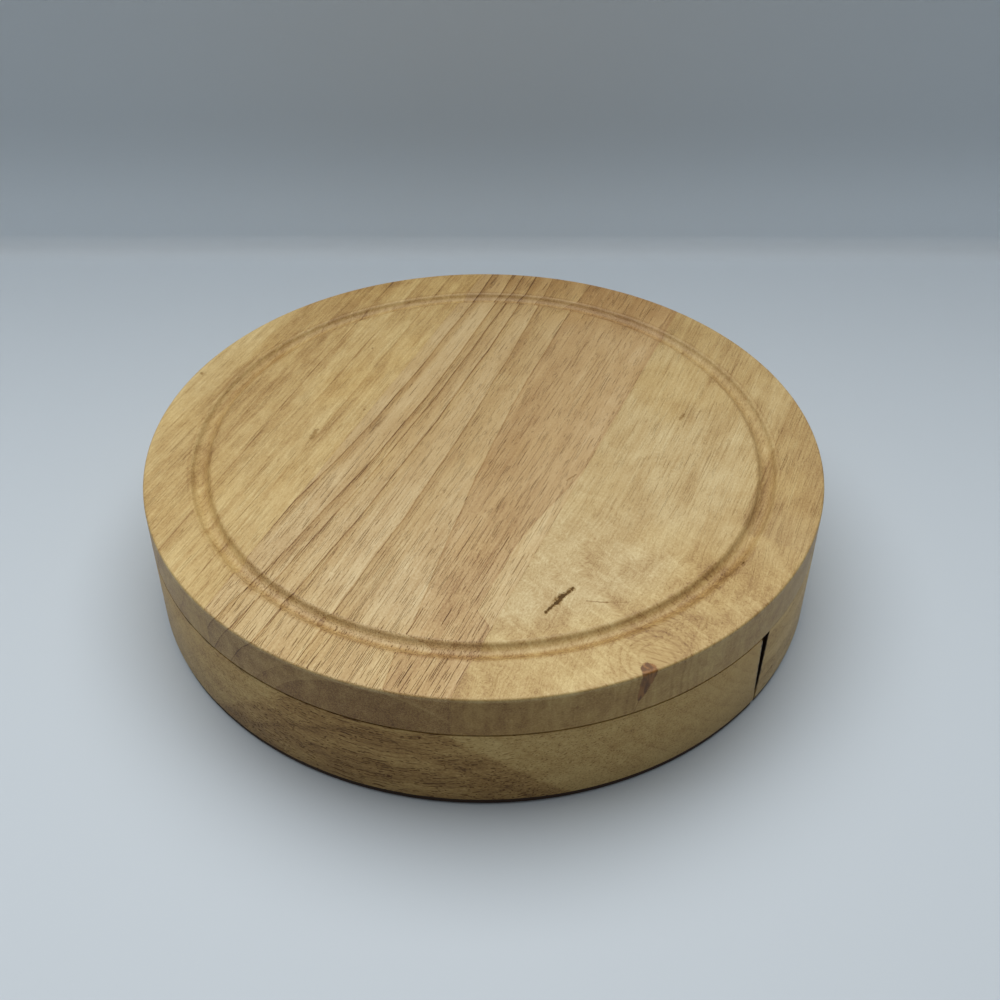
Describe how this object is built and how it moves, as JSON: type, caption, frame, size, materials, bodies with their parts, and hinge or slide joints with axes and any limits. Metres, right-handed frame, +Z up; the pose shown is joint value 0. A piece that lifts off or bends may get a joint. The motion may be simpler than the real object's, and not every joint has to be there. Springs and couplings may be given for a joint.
{
  "type": "swivel cheese board",
  "caption": "Round wooden cheese board with a juice groove over a base whose larger part swings out on one bolt as a tray and stores cheese tools in routed wells.",
  "frame": {"origin": "middle of the round foot, on the surface that the board stands on", "axes": "+Z up; +X along the parting line, from the pivot to the free end of the tray; +Y into the fixed part of the base, so the tray swings out towards -Y"},
  "size_m": [0.19, 0.19, 0.0389],
  "materials": {
    "board_wood": "satin",
    "base_wood": "satin",
    "handle_wood": "satin",
    "hardboard": "smooth pressed face",
    "steel": "satin stainless",
    "brass": "bright turned",
    "nylon": "natural"
  },
  "bodies": {
    "board": {"top_board": "board_wood", "fixed_base": "base_wood", "fixed_base_panel": "hardboard", "pivot_insert": "brass", "pivot_bolt": "steel", "head_washer": "steel"},
    "tray": {"tray_body": "base_wood", "tray_panel": "hardboard", "pivot_bush": "brass", "slip_washer": "nylon"},
    "knife": {"knife_handle": "handle_wood", "knife_bolster": "steel", "knife_blade": "steel"},
    "fork": {"fork_handle": "handle_wood", "fork_bolster": "steel", "fork_blade": "steel"},
    "chisel": {"chisel_handle": "handle_wood", "chisel_bolster": "steel", "chisel_blade": "steel"}
  },
  "joints": [
    {"name": "tray_swivel", "type": "hinge", "parent": "board", "child": "tray", "pos_m": [-0.0799, -0.004, 0], "axis": [0, 0, -1], "range_deg": [0, 105]},
    {"name": "knife_lift", "type": "slide", "parent": "tray", "child": "knife", "axis": [0, 0, 1], "range_m": [0, 0.009]},
    {"name": "fork_lift", "type": "slide", "parent": "tray", "child": "fork", "axis": [0, 0, 1], "range_m": [0, 0.009]},
    {"name": "chisel_lift", "type": "slide", "parent": "tray", "child": "chisel", "axis": [0, 0, 1], "range_m": [0, 0.009]}
  ]
}
